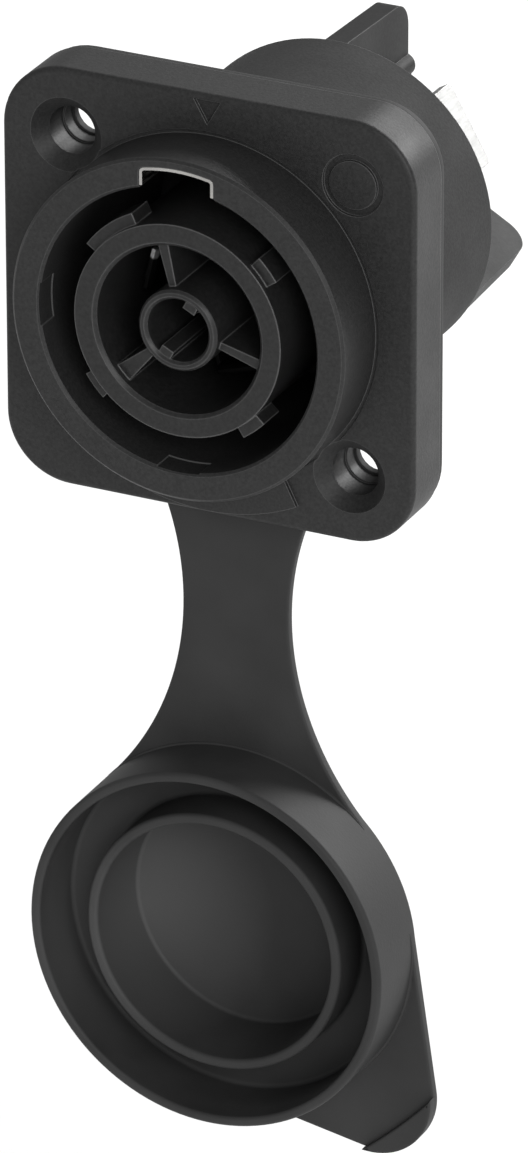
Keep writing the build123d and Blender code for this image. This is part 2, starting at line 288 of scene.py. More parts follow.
def grey(value: float, warmth: float = 0.0) -> Colour:
    """A near-neutral colour.

    Args:
        value: linear brightness.
        warmth: share by which red exceeds blue.

    Returns:
        The colour.
    """
    return (value * (1 + warmth / 2), value, value * (1 - warmth / 2), 1.0)


@dataclass(frozen=True)
class MouldedPlastic:
    """Black moulded plastic with the fine grain that a spark-eroded mould leaves."""

    name: str
    shade: float = 0.019
    roughness: float = 0.4
    grain: float = 0.2
    grain_depth: float = 0.03
    edge_round: float = 0.12
    painted_edge_highlight: float = 0.11
    specular: float = 0.3
    rougher_behind: float = 0.0
    dark_fleck: float = 0.75
    pale_fleck: float = 1.35
    flow_size: float = 5.0

    def material(self) -> bpy.types.Material:
        """Builds the material: flow marks, grain, paler rounded edges and a rougher skin behind the panel.

        Returns:
            The material.
        """
        tree = ShaderTree(self.name)
        tree.fixed(Specular_IOR_Level=self.specular, IOR=1.5)
        grain = tree.noise(self.grain, 2.0, 0.6)
        flow = tree.noise(self.flow_size, 2.0, 0.5)
        dark, pale = grey(self.shade * self.dark_fleck), grey(self.shade * self.pale_fleck)
        skin = tree.between(tree.spread(grain, 0, 1), dark, pale)
        rounded = tree.soft_edges(self.edge_round)
        # Painted highlight: rounded edges get a paler colour in place of the light they catch
        tree.drive("Base Color", tree.between(tree.edges(rounded), skin, grey(self.painted_edge_highlight)))
        even = tree.spread(flow, self.roughness - 0.04, self.roughness + 0.05)
        behind = tree.spread(tree.depth(), 0.0, self.rougher_behind, -0.6, 1.0)
        tree.drive("Roughness", tree.maths("ADD", even, behind))
        tree.drive("Normal", tree.bump(grain, self.grain_depth, rounded))
        return tree.material


@dataclass(frozen=True)
class MouldedRubber:
    """Black moulded rubber: matt, with a faint bloom of dust and a fine skin."""

    name: str
    shade: float = 0.03
    roughness: float = 0.62
    skin: float = 0.22
    skin_depth: float = 0.012
    painted_light_at: tuple[float, float, float] | None = None
    painted_light_reach: float = 11.0
    painted_light_shade: float = 0.09

    def material(self) -> bpy.types.Material:
        """Builds the material: skin and bloom, and a painted pool of light round one place where it has one.

        Returns:
            The material.
        """
        tree = ShaderTree(self.name)
        tree.fixed(Specular_IOR_Level=0.28)
        skin = tree.noise(self.skin, 3.0, 0.6)
        bloom = tree.noise(7.0, 3.0, 0.5)
        dust_and_painted_light = tree.between(tree.spread(bloom, 0, 1), grey(self.shade * 0.85), grey(self.shade * 1.25))
        # Painted pool of light: paler colour round one place, fading outwards
        if self.painted_light_at is not None:
            near = tree.spread(tree.distance(self.painted_light_at), 1.0, 0.0, 0.1 * self.painted_light_reach, self.painted_light_reach)
            dust_and_painted_light = tree.between(near, dust_and_painted_light, grey(self.painted_light_shade))
        tree.drive("Base Color", dust_and_painted_light)
        tree.drive("Roughness", tree.spread(bloom, self.roughness - 0.03, self.roughness + 0.06))
        tree.drive("Normal", tree.bump(skin, self.skin_depth))
        return tree.material


@dataclass(frozen=True)
class SheetMetal:
    """Rolled sheet metal with fine rolling lines along one axis.

    It has painted shade between two depths behind the panel, which by default lie far behind every piece, and
    one spot in that stretch may hold a painted glint.
    """

    name: str
    colour: Colour = (0.62, 0.60, 0.56, 1.0)
    roughness: float = 0.28
    lines: tuple[float, float, float] = (1.0, 0.08, 1.0)
    edge_round: float = 0.06
    line_depth: float = 0.002
    painted_shade_from: float = 2e3
    painted_shade_to: float = 2.1e3
    painted_shade: float = 0.05
    dull_rough: float = 0.0
    painted_glint: tuple[float, float, float] | None = None
    painted_glint_reach: float = 0.5
    painted_glint_shade: float = 0.85

    def material(self) -> bpy.types.Material:
        """Builds the material: rolling lines, tarnish, rounded edges, and painted shade over a stretch, with
        a painted glint, where it has them.

        Returns:
            The material.
        """
        tree = ShaderTree(self.name)
        tree.fixed(Metallic=1.0)
        lines = tree.noise(0.12, 3.0, 0.6, tree.stretched(self.lines))
        tarnish = tree.noise(2.5, 3.0, 0.5)
        dull = tuple(c * 0.82 for c in self.colour[:3]) + (1.0,)
        clean = tree.between(tree.spread(tarnish, 0, 1), self.colour, dull)
        rounded = tree.soft_edges(self.edge_round)
        # Painted shade: darker colour between two depths, where the pieces lie deep in shaded chambers
        middle = (self.painted_shade_from + self.painted_shade_to) / 2
        reach = (self.painted_shade_to - self.painted_shade_from) / 2
        away = tree.maths("ABSOLUTE", tree.maths("SUBTRACT", tree.depth(), middle))
        dark = tree.spread(away, 1.0, 0.0, reach - 0.3, reach + 0.3)
        skin = tree.between(dark, clean, grey(self.painted_shade))
        # Painted glint: one spot keeps a bright colour inside the painted shade
        if self.painted_glint is not None:
            apart = tree.distance(self.painted_glint)
            outside = tree.spread(apart, 0.0, 1.0, 0.7 * self.painted_glint_reach, self.painted_glint_reach)
            dark = tree.maths("MINIMUM", dark, outside)
            skin = tree.between(outside, grey(self.painted_glint_shade), skin)
        tree.drive("Base Color", skin)
        even = tree.spread(lines, self.roughness - 0.06, self.roughness + 0.1)
        tree.drive("Roughness", tree.maths("ADD", even, tree.maths("MULTIPLY", dark, self.dull_rough)))
        tree.drive("Normal", tree.bump(lines, self.line_depth, rounded))
        return tree.material


@dataclass(frozen=True)
class StudioFloor:
    """Plain pale floor."""

    name: str = "studio_floor"
    shade: float = 0.93

    def material(self) -> bpy.types.Material:
        """Builds the material: pale paper with a faint tooth.

        Returns:
            The material.
        """
        tree = ShaderTree(self.name)
        tree.fixed(Base_Color=grey(self.shade), Roughness=0.9, Specular_IOR_Level=0.1)
        tree.drive("Normal", tree.bump(tree.noise(1.2, 2.0), 0.01))
        return tree.material


# Geometry nodes


class NodeRecipe:
    """One Geometry Nodes tree with named inputs, and the way to run it on a mesh."""

    def __init__(self, name: str, inputs: Sequence[tuple[str, str]]) -> None:
        """Starts the tree.

        Args:
            name: the tree's name.
            inputs: name and socket type of each input after the geometry.
        """
        self.tree = bpy.data.node_groups.new(name, "GeometryNodeTree")
        face = self.tree.interface
        face.new_socket(name="Geometry", in_out="INPUT", socket_type="NodeSocketGeometry")
        for socket, kind in inputs:
            face.new_socket(name=socket, in_out="INPUT", socket_type=kind)
        face.new_socket(name="Material", in_out="INPUT", socket_type="NodeSocketMaterial")
        face.new_socket(name="Geometry", in_out="OUTPUT", socket_type="NodeSocketGeometry")
        self.start = self.tree.nodes.new("NodeGroupInput")

    def node(self, kind: str, setting: dict[str, str] | None = None, **joined: object) -> bpy.types.Node:
        """Adds a node.

        Args:
            kind: the node's type.
            setting: the node's own settings.
            **joined: value or source of each input, named with underscores for spaces, or in_0 for its place.

        Returns:
            The node.
        """
        node = self.tree.nodes.new(kind)
        for name, value in (setting or {}).items():
            setattr(node, name, value)
        for name, value in joined.items():
            key = int(name[3:]) if name.startswith("in_") else name.replace("_", " ")
            socket = node.inputs[key]
            if isinstance(value, bpy.types.NodeSocket):
                self.tree.links.new(value, socket)
            else:
                socket.default_value = value
        return node

    def maths(self, operation: str, first: object, second: object = 0.0) -> bpy.types.NodeSocket:
        """Adds one Math node and returns its result."""
        return self.node("ShaderNodeMath", {"operation": operation}, in_0=first, in_1=second).outputs[0]

    def end(self, geometry: bpy.types.NodeSocket) -> None:
        """Closes the tree with Realize Instances and Set Material.

        Args:
            geometry: what the tree has made.
        """
        real = self.node("GeometryNodeRealizeInstances", in_0=geometry)
        paint = self.node(
            "GeometryNodeSetMaterial", Geometry=real.outputs[0], Material=self.start.outputs["Material"]
        )
        self.node("NodeGroupOutput", in_0=paint.outputs[0])

    def run(self, name: str, source: bpy.types.Mesh, **values: object) -> bpy.types.Object:
        """Runs the tree on a mesh and keeps the result as a plain mesh.

        Args:
            name: name of the finished object.
            source: mesh that the tree starts from.
            **values: value of each input, named with underscores for spaces.

        Returns:
            The finished object, at the origin.
        """
        carrier = bpy.data.objects.new(name + "_source", source)
        bpy.context.scene.collection.objects.link(carrier)
        modifier = carrier.modifiers.new("recipe", "NODES")
        modifier.node_group = self.tree
        sockets = {s.name: s.identifier for s in self.tree.interface.items_tree if s.in_out == "INPUT"}
        for key, value in values.items():
            modifier[sockets[key.replace("_", " ")]] = value
        graph = bpy.context.evaluated_depsgraph_get()
        mesh = bpy.data.meshes.new_from_object(carrier.evaluated_get(graph))
        mesh.name = name
        bpy.data.objects.remove(carrier)
        bpy.data.meshes.remove(source)
        made = bpy.data.objects.new(name, mesh)
        bpy.context.scene.collection.objects.link(made)
        return made


def turned_recipe() -> NodeRecipe:
    """Tree that turns a half section, given as a line of vertices, round an axis along Y.

    Returns:
        The recipe, with inputs Segments, Start Turn, Sweep and Axis Height.
    """
    recipe = NodeRecipe(
        "turned_piece",
        [
            ("Segments", "NodeSocketInt"),
            ("Start Turn", "NodeSocketFloat"),
            ("Sweep", "NodeSocketFloat"),
            ("Axis Height", "NodeSocketFloat"),
        ],
    )
    given = recipe.start.outputs
    count = recipe.node("GeometryNodeAttributeDomainSize", Geometry=given["Geometry"]).outputs["Point Count"]
    columns = recipe.maths("ADD", given["Segments"], 1.0)
    grid = recipe.node("GeometryNodeMeshGrid", Vertices_X=columns, Vertices_Y=count)
    index = recipe.node("GeometryNodeInputIndex").outputs[0]
    row = recipe.maths("MODULO", index, count)
    column = recipe.maths("FLOOR", recipe.maths("DIVIDE", index, count))
    share = recipe.maths("DIVIDE", column, given["Segments"])
    turn = recipe.maths("ADD", recipe.maths("MULTIPLY", share, given["Sweep"]), given["Start Turn"])
    position = recipe.node("GeometryNodeInputPosition").outputs[0]
    section = recipe.node(
        "GeometryNodeSampleIndex",
        {"data_type": "FLOAT_VECTOR"},
        Geometry=given["Geometry"],
        Value=position,
        Index=row,
    ).outputs[0]
    apart = recipe.node("ShaderNodeSeparateXYZ", in_0=section).outputs
    across = recipe.maths("MULTIPLY", apart["X"], recipe.maths("COSINE", turn))
    upward = recipe.maths("MULTIPLY", apart["X"], recipe.maths("SINE", turn))
    height = recipe.maths("ADD", upward, given["Axis Height"])
    place = recipe.node("ShaderNodeCombineXYZ", X=across, Y=apart["Y"], Z=height).outputs[0]
    moved = recipe.node("GeometryNodeSetPosition", Geometry=grid.outputs["Mesh"], Position=place)
    joined = recipe.node("GeometryNodeMergeByDistance", Geometry=moved.outputs[0], Distance=JOIN_WITHIN)
    recipe.end(joined.outputs[0])
    return recipe


def ring_recipe() -> NodeRecipe:
    """Tree that repeats a piece round the socket's axis.

    Returns:
        The recipe, with inputs Count and Start Turn.
    """
    recipe = NodeRecipe("ring_of_pieces", [("Count", "NodeSocketInt"), ("Start Turn", "NodeSocketFloat")])
    given = recipe.start.outputs
    points = recipe.node("GeometryNodePoints", Count=given["Count"])
    index = recipe.node("GeometryNodeInputIndex").outputs[0]
    share = recipe.maths("DIVIDE", index, given["Count"])
    turn = recipe.maths("ADD", recipe.maths("MULTIPLY", share, math.tau), given["Start Turn"])
    euler = recipe.node("ShaderNodeCombineXYZ", Y=recipe.maths("MULTIPLY", turn, -1.0)).outputs[0]
    rotation = recipe.node("FunctionNodeEulerToRotation", in_0=euler).outputs[0]
    placed = recipe.node(
        "GeometryNodeInstanceOnPoints",
        Points=points.outputs[0],
        Instance=given["Geometry"],
        Rotation=rotation,
    )
    recipe.end(placed.outputs[0])
    return recipe


# Outlines and meshes


def arc(centre: Point, radius: float, start: float, end: float, steps: int) -> list[Point]:
    """Points along an arc.

    Args:
        centre: the arc's centre.
        radius: its radius.
        start: angle of its first point, in degrees.
        end: angle of its last point, in degrees.
        steps: number of equal steps.

    Returns:
        The points, with both ends.
    """
    turns = [math.radians(start + (end - start) * n / steps) for n in range(steps + 1)]
    return [(centre[0] + radius * math.cos(a), centre[1] + radius * math.sin(a)) for a in turns]


@dataclass
class Section:
    """Half section of a turned piece: corners as (radius, depth, round), from the first to the last."""

    corners: list[tuple[float, float, float]]
    steps: int = 5
    guard: float = 0.06

    def points(self) -> list[Point]:
        """Points of the section, with its rounded corners and a guard point beside each round.

        Returns:
            The points, as (radius, depth).
        """
        found = [self.corners[0][:2]]
        for before, here, after in zip(self.corners, self.corners[1:], self.corners[2:]):
            corner = Vector(here[:2])
            first = (Vector(before[:2]) - corner).normalized()
            second = (Vector(after[:2]) - corner).normalized()
            if here[2] <= 0:
                found.append(tuple(corner))
                continue
            half = first.angle(second) / 2
            reach = here[2] / math.tan(half)
            middle = corner + (first + second).normalized() * (here[2] / math.sin(half))
            found.append(tuple(corner + first * (reach + self.guard)))
            begin = corner + first * reach - middle
            finish = corner + second * reach - middle
            for n in range(self.steps + 1):
                spoke = begin.lerp(finish, n / self.steps).normalized() * here[2]
                found.append(tuple(middle + spoke))
            found.append(tuple(corner + second * (reach + self.guard)))
        found.append(self.corners[-1][:2])
        return found

    def mesh(self, name: str) -> bpy.types.Mesh:
        """A line of vertices along the section, in metres.

        Args:
            name: the mesh's name.

        Returns:
            The mesh.
        """
        points = self.points()
        mesh = bpy.data.meshes.new(name)
        edges = [(n, n + 1) for n in range(len(points) - 1)]
        mesh.from_pydata([(x * MM, y * MM, 0.0) for x, y in points], edges, [])
        return mesh


def inside(point: Point, loop: Sequence[Point]) -> bool:
    """Whether a point is inside a closed outline.

    Args:
        point: the point.
        loop: the outline.

    Returns:
        True where it is.
    """
    x, y = point
    odd = False
    for (ax, ay), (bx, by) in zip(loop, list(loop[1:]) + [loop[0]]):
        if (ay > y) != (by > y) and x < ax + (y - ay) * (bx - ax) / (by - ay):
            odd = not odd
    return odd


def resampled(loop: Sequence[Point], step: float) -> list[Point]:
    """A closed outline with points at most a step apart.

    Args:
        loop: the outline.
        step: the longest step, in the outline's units.

    Returns:
        The denser outline.
    """
    dense: list[Point] = []
    for (ax, ay), (bx, by) in zip(loop, list(loop[1:]) + [loop[0]]):
        parts = max(1, math.ceil(math.hypot(bx - ax, by - ay) / step))
        dense += [(ax + (bx - ax) * n / parts, ay + (by - ay) * n / parts) for n in range(parts)]
    return dense


def offset(loop: Sequence[Point], distance: float) -> list[Point]:
    """A closed outline moved sideways, to its left when the distance is positive.

    Args:
        loop: the outline.
        distance: how far it moves.

    Returns:
        The moved outline, point for point.
    """
    moved = []
    count = len(loop)
    for n, here in enumerate(loop):
        before, after = Vector(loop[n - 1]), Vector(loop[(n + 1) % count])
        one = (Vector(here) - before).normalized()
        two = (after - Vector(here)).normalized()
        side = Vector((-one.y - two.y, one.x + two.x)).normalized()
        spread = max(0.5, side.dot(Vector((-one.y, one.x))))
        moved.append(tuple(Vector(here) + side * distance / spread))
    return moved


@dataclass
class SoftPlate:
    """Flat plate across the socket's axis, with rounded edges and a fine mesh where it bends.

    Without a stretch that bends, its mesh is coarse all over.
    """

    outline: list[Point]
    holes: list[list[Point]]
    front: float
    back: float
    edge_round: float = 0.16
    guard_share: float = 1.6
    bend_from: float = 1e9
    bend_to: float = 1e9
    bend_step: float = 0.55
    coarse_step: float = 2.5
    clear_share: float = 0.6
    arc_steps: int = 4

    def rings(self, loop: list[Point]) -> list[tuple[list[Point], float]]:
        """Rings of points round one outline, from the front face to the back face.

        Args:
            loop: the outline, with the plate on its left.

        Returns:
            Each ring's outline and depth.
        """
        guard = self.guard_share * self.edge_round
        found = [(offset(loop, guard), self.front)]
        for ahead in (True, False):
            for n in range(self.arc_steps + 1):
                turn = math.radians(90 * (n if ahead else self.arc_steps - n) / self.arc_steps)
                step = self.edge_round * (1 - math.sin(turn))
                drop = self.edge_round * (1 - math.cos(turn))
                depth = self.front + drop if ahead else self.back - drop
                found.append((offset(loop, step), depth))
        found.append((offset(loop, guard), self.back))
        return found

    def add_to(self, made: bmesh.types.BMesh) -> None:
        """Adds the plate to a mesh as one closed shell.

        Args:
            made: the mesh that receives it, in metres.
        """
        loops = [self.outline] + self.holes
        all_rings = [self.rings(loop) for loop in loops]
        starts: list[list[list[bmesh.types.BMVert]]] = []
        for rings in all_rings:
            starts.append([[made.verts.new((x * MM, y * MM, z * MM)) for x, z in ring] for ring, y in rings])
        for ring_verts in starts:
            for near, far in zip(ring_verts, ring_verts[1:]):
                count = len(near)
                for n in range(count):
                    m = (n + 1) % count
                    made.faces.new((near[n], near[m], far[m], far[n]))
        for which, level in ((0, self.front), (-1, self.back)):
            self.add_face(made, [rings[which][0] for rings in all_rings], [s[which] for s in starts], level)

    def add_face(
        self,
        made: bmesh.types.BMesh,
        loops: list[list[Point]],
        loop_verts: list[list[bmesh.types.BMVert]],
        level: float,
    ) -> None:
        """Fills one flat face of the plate between its outlines.

        Args:
            made: the mesh that receives it.
            loops: the face's outlines, the outer one first.
            loop_verts: the vertices along each outline.
            level: the face's depth.
        """
        points = [Vector(p) for loop in loops for p in loop]
        known = [v for verts in loop_verts for v in verts]
        edges = []
        base = 0
        for loop in loops:
            edges += [(base + n, base + (n + 1) % len(loop)) for n in range(len(loop))]
            base += len(loop)
        points += [Vector(p) for p in self.inner_points(loops)]
        result = delaunay_2d_cdt(points, edges, [], 0, FILL_WITHIN)
        verts: list[bmesh.types.BMVert] = []
        for place, origin in zip(result[0], result[3]):
            old = next((n for n in origin if n < len(known)), None)
            if old is None:
                verts.append(made.verts.new((place.x * MM, level * MM, place.y * MM)))
            else:
                verts.append(known[old])
        for corners in result[2]:
            middle = sum((result[0][n] for n in corners), Vector((0, 0))) / len(corners)
            if inside(tuple(middle), loops[0]) and not any(inside(tuple(middle), hole) for hole in loops[1:]):
                made.faces.new([verts[n] for n in corners])

    def inner_points(self, loops: list[list[Point]]) -> list[Point]:
        """Points inside the face that keep its triangles small, closer together where it bends.

        Args:
            loops: the face's outlines, the outer one first.

        Returns:
            The points.
        """
        low_x, high_x = min(p[0] for p in loops[0]), max(p[0] for p in loops[0])
        low_z, high_z = min(p[1] for p in loops[0]), max(p[1] for p in loops[0])
        clear = [Vector(p) for loop in loops for p in loop]
        found = []
        z = low_z
        row = 0
        while z < high_z:
            step = self.bend_step if self.bend_from < z < self.bend_to else self.coarse_step
            x = low_x + (step / 2 if row % 2 else 0)
            while x < high_x:
                here = Vector((x, z))
                if inside((x, z), loops[0]) and not any(inside((x, z), hole) for hole in loops[1:]):
                    if min((here - p).length for p in clear) > self.clear_share * step:
                        found.append((x, z))
                x += step
            z += step
            row += 1
        return found


def finished(
    name: str, made: bmesh.types.BMesh, material: bpy.types.Material, sharp: float = 40.0
) -> bpy.types.Object:
    """Turns a mesh into a finished object at the origin.

    Args:
        name: the object's name.
        made: its mesh, which is freed.
        material: its finish.
        sharp: angle above which an edge stays sharp, in degrees.

    Returns:
        The object.
    """
    bmesh.ops.recalc_face_normals(made, faces=made.faces)
    for face in made.faces:
        face.smooth = True
    for edge in made.edges:
        edge.smooth = len(edge.link_faces) == 2 and edge.calc_face_angle(0.0) < math.radians(sharp)
    mesh = bpy.data.meshes.new(name)
    made.to_mesh(mesh)
    made.free()
    mesh.materials.append(material)
    made_object = bpy.data.objects.new(name, mesh)
    bpy.context.scene.collection.objects.link(made_object)
    return made_object


def report(piece: bpy.types.Object) -> None:
    """Writes one line on a finished piece to the log."""
    piece.data.calc_loop_triangles()
    log.info("%s: %d triangles", piece.name, len(piece.data.loop_triangles))


# Sub-assemblies


@dataclass
class SocketBody:
    """Rigid mouldings and metal pieces of the socket, which keep their CAD shapes."""

    housing: MouldedPlastic = MouldedPlastic(
        "housing_plastic", shade=0.022, roughness=0.5, grain_depth=0.016, rougher_behind=0.26
    )
    insulator: MouldedPlastic = MouldedPlastic(
        "insulator_plastic",
        shade=0.018,
        roughness=0.36,
        grain=0.3,
        grain_depth=0.006,
        edge_round=0.2,
        # Painted highlight on the insulator's rounded edges
        painted_edge_highlight=0.14,
    )
    rear: MouldedPlastic = MouldedPlastic(
        "rear_plastic",
        shade=0.012,
        roughness=0.55,
        grain=0.3,
        grain_depth=0.006,
        edge_round=0.12,
        specular=0.22,
    )
    keeper: SheetMetal = SheetMetal("keeper_steel", colour=(0.55, 0.54, 0.52, 1.0), roughness=0.26)
    contact: SheetMetal = SheetMetal(
        "contact_metal",
        colour=(0.36, 0.36, 0.355, 1.0),
        roughness=0.45,
        line_depth=0.0008,
        # Painted shade on the forks deep in their chambers, and a painted glint on one fork's tip
        painted_shade_from=-4.0,
        painted_shade_to=13.0,
        painted_shade=0.02,
        painted_glint=(-4.66, -3.4, 2.5),
        painted_glint_reach=0.6,
    )
    seal: MouldedRubber = MouldedRubber("seal_rubber", shade=0.02)

    def dress(self) -> None:
        """Gives each CAD node its finish."""
        housing, insulator, rear = self.housing.material(), self.insulator.material(), self.rear.material()
        keeper, contact, seal = self.keeper.material(), self.contact.material(), self.seal.material()
        finishes = {
            "front_housing": housing,
            "contact_carrier": insulator,
            "rear_insulator": rear,
            "latch_keeper": keeper,
            "live_contact": contact,
            "neutral_contact": contact,
            "earth_contact": contact,
            "carrier_seal": seal,
        }
        for node, material in finishes.items():
            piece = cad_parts[node]
            piece.data.materials.clear()
            piece.data.materials.append(material)
            log.info("%s: dressed in %s", node, material.name)


@dataclass
class SpringClips:
    """Bent steel clips round the three contact forks, one in each chamber."""

    count: int = 3
    first_turn: float = 47.0
    radius: float = 4.4
    inside_width: float = 2.1
    thickness: float = 0.3
    front: float = -2.65
    length: float = 3.5
    web_place: float = 1.65
    return_place: float = 1.2
    bend: float = 0.35
    bend_steps: int = 5
    flare: float = 0.15
    flare_length: float = 0.6
    steel: SheetMetal = SheetMetal(
        "spring_steel",
        colour=(0.6, 0.59, 0.57, 1.0),
        roughness=0.3,
        # Painted shade on the clips deep in their chambers
        painted_shade_from=-4.0,
        painted_shade_to=13.0,
        painted_shade=0.02,
        dull_rough=0.3,
    )

    def section(self) -> list[Point]:
        """Middle line of the bent clip, as (radial, sideways) points.

        Returns:
            The points, from end to end.
        """
        half = (self.inside_width + self.thickness) / 2
        web = -self.web_place - self.thickness / 2
        left = arc((-half + self.bend, web + self.bend), self.bend, 180, 270, self.bend_steps)
        right = arc((half - self.bend, web + self.bend), self.bend, 270, 360, self.bend_steps)
        tail = self.return_place
        begin = [(-half - self.flare, tail), (-half, tail - self.flare_length)]
        end = [(half, tail - self.flare_length), (half + self.flare, tail)]
        return begin + left + right + end

    def build(self) -> bpy.types.Object:
        """Builds the three clips as one mesh.

        Returns:
            The finished piece.
        """
        line = self.section()
        made = bmesh.new()
        sides = []
        for sign in (1.0, -1.0):
            moved = []
            for n, here in enumerate(line):
                before, after = Vector(line[max(n - 1, 0)]), Vector(line[min(n + 1, len(line) - 1)])
                run = (after - before).normalized()
                moved.append(Vector(here) + Vector((-run.y, run.x)) * sign * self.thickness / 2)
            sides.append(moved)
        ring = sides[0] + sides[1][::-1]
        ends = []
        for depth in (self.front, self.front + self.length):
            ends.append([made.verts.new(((self.radius + p.x) * MM, depth * MM, p.y * MM)) for p in ring])
        count = len(ring)
        for n in range(count):
            m = (n + 1) % count
            made.faces.new((ends[0][n], ends[0][m], ends[1][m], ends[1][n]))
        half = len(line)
        for end in ends:
            for n in range(half - 1):
                made.faces.new((end[n], end[n + 1], end[count - 2 - n], end[count - 1 - n]))
        bmesh.ops.recalc_face_normals(made, faces=made.faces)
        mesh = bpy.data.meshes.new("clip")
        made.to_mesh(mesh)
        made.free()
        clips = ring_recipe().run(
            "spring_clips",
            mesh,
            Count=self.count,
            Start_Turn=math.radians(self.first_turn),
            Material=self.steel.material(),
        )
        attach(clips, Body.SOCKET.value)
        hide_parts("live_spring", "neutral_spring", "earth_spring")
        report(clips)
        return clips


@dataclass
class SealingCover:
    """Rubber cover in one moulding: gasket under the flange, strap, cap and pull tab.

    The plates' back lies a step in front of the cap's, so that no two faces share a plane.
    """

    plate_side: float = 31.0
    plate_corner: float = 4.8
    plate_depth: float = 0.8
    back_step: float = 0.02
    bore: float = 12.55
    hole_place: float = 10.65
    hole: float = 1.45
    strap_waist: float = 8.1
    waist_z: float = -24.6
    cap_z: float = -48.8
    cap_radius: float = 13.6
    cap_bore: float = 12.85
    rim: float = -6.0
    ring_outer: float = 9.85
    ring_inner: float = 9.05
    ring_rim: float = -4.55
    channel_floor: float = -0.9
    floor_depth: float = 1.7
    dish: float = 0.9
    dish_steps: int = 8
    back_depth: float = 2.9
    back_radius: float = 10.3
    ring_round: float = 0.28
    floor_round: float = 0.3
    bore_round: float = 0.26
    rim_round: float = 0.3
    wall_foot_round: float = 0.15
    back_foot_round: float = 0.25
    back_round: float = 0.6
    cap_segments: int = 128
    sink: float = 1.6
    inset: float = 0.12
    root_sink: float = 0.3
    outline_step: float = 0.9
    foot_bead: float = 0.16
    bead_steps: int = 56
    bead_sides: int = 8
    bead_tip: float = 0.1
    bead_taper: float = 6.0
    tab_turn: float = -46.0
    tab_reach: float = 15.3
    tab_tip: float = 4.7
    lip_reach: float = 18.4
    lip_height: float = 0.6
    lip_back: float = -0.4
    lip_bow: float = 40.0
    fold_start: float = -16.4
    fold_end: float = -32.3
    # Painted pool of light on the left of the cap's floor
    rubber: MouldedRubber = MouldedRubber("cover_rubber", painted_light_at=(-9.5, 2.0, -50.5))

    def strap_side(self) -> tuple[list[Point], float]:
        """Right side of the strap, from the flange down to the cap's wall.

        Returns:
            Its points, and the angle round the cap where it ends.
        """
        half = self.strap_waist / 2
        fall = self.waist_z - self.cap_z
        radius = (half ** 2 + fall ** 2 - self.cap_radius ** 2) / (2 * self.cap_radius - self.strap_waist)
        centre = (half + radius, self.waist_z)
        root_z = -self.plate_side / 2 + self.root_sink
        top = 180 - math.degrees(math.asin((root_z - self.waist_z) / radius))
        join = math.degrees(math.asin(fall / (radius + self.cap_radius)))
        return arc(centre, radius, top, 180 + join, 48), join

    def plate_outline(self) -> list[Point]:
        """Outline of the gasket and strap, counter-clockwise as seen from the front.

        Returns:
            The outline.
        """
        side, join = self.strap_side()
        reach = self.plate_side / 2 - self.inset
        inner = self.plate_side / 2 - self.plate_corner
        corners = []
        for n, (x, z) in enumerate(((inner, -inner), (inner, inner), (-inner, inner), (-inner, -inner))):
            start = 90 * n - 90
            corners += arc((x, z), self.plate_corner - self.inset, start, start + 90, 12)
        left = [(-x, z) for x, z in side]
        wall = arc((0, self.cap_z), self.cap_radius - self.sink, 180 - join, join, 24)
        roots = [(side[0][0], -reach)], [(-side[0][0], -reach)]
        strap = left[1:] + wall[1:-1] + side[::-1][:-1]
        return resampled(strap + roots[0] + corners + roots[1], self.outline_step)

    def plate(self) -> SoftPlate:
        """The gasket and strap.

        Returns:
            The plate, with its bore and its two screw holes.
        """
        holes = [arc((0, 0), self.bore, 0, -360, 72)[:-1]]
        for sign in (-1, 1):
            holes.append(arc((sign * self.hole_place, -sign * self.hole_place), self.hole, 0, -360, 24)[:-1])
        return SoftPlate(
            self.plate_outline(),
            holes,
            -self.plate_depth,
            -self.back_step,
            bend_from=self.fold_end,
            bend_to=self.fold_start,
        )

    def tab_half(self) -> float:
        """Angle round the cap from the pull tab's middle to where its straight sides touch the wall."""
        return math.degrees(math.acos((self.cap_radius - self.tab_tip) / self.tab_reach))

    def hull_outline(self) -> list[Point]:
        """Outline of the pull tab, from the cap's wall round its tip, before it is turned.

        Returns:
            The outline.
        """
        angle = self.tab_half()
        tip = arc((self.tab_reach, 0), self.tab_tip, -angle, angle, 32)
        foot = arc((0, 0), self.cap_radius, angle, -angle, 1)
        wall = arc((0, 0), self.cap_radius - self.sink, angle, -angle, 32)
        return resampled(tip + foot[:1] + wall + foot[1:], self.outline_step)

    def turned(self, loop: Sequence[Point]) -> list[Point]:
        """Points turned with the pull tab and moved to the cap's axis."""
        c, s = math.cos(math.radians(self.tab_turn)), math.sin(math.radians(self.tab_turn))
        return [(x * c - z * s, x * s + z * c + self.cap_z) for x, z in loop]

    def lip_outline(self) -> list[Point]:
        """Outline of the raised lip at the pull tab's tip, before it is turned.

        Returns:
            The outline.
        """
        bow_centre = self.lip_reach - self.lip_bow
        x = bow_centre + (self.lip_bow ** 2 - self.tab_tip ** 2 + (self.tab_reach - bow_centre) ** 2) / (
            2 * (self.tab_reach - bow_centre)
        )
        z = math.sqrt(max(0.0, self.lip_bow ** 2 - (x - bow_centre) ** 2))
        tip_angle = math.degrees(math.atan2(z, x - self.tab_reach))
        bow_angle = math.degrees(math.atan2(z, x - bow_centre))
        tip = arc((self.tab_reach, 0), self.tab_tip, -tip_angle, tip_angle, 20)
        bow = arc((bow_centre, 0), self.lip_bow, bow_angle, -bow_angle, 10)
        return resampled(tip + bow[1:-1], self.outline_step)

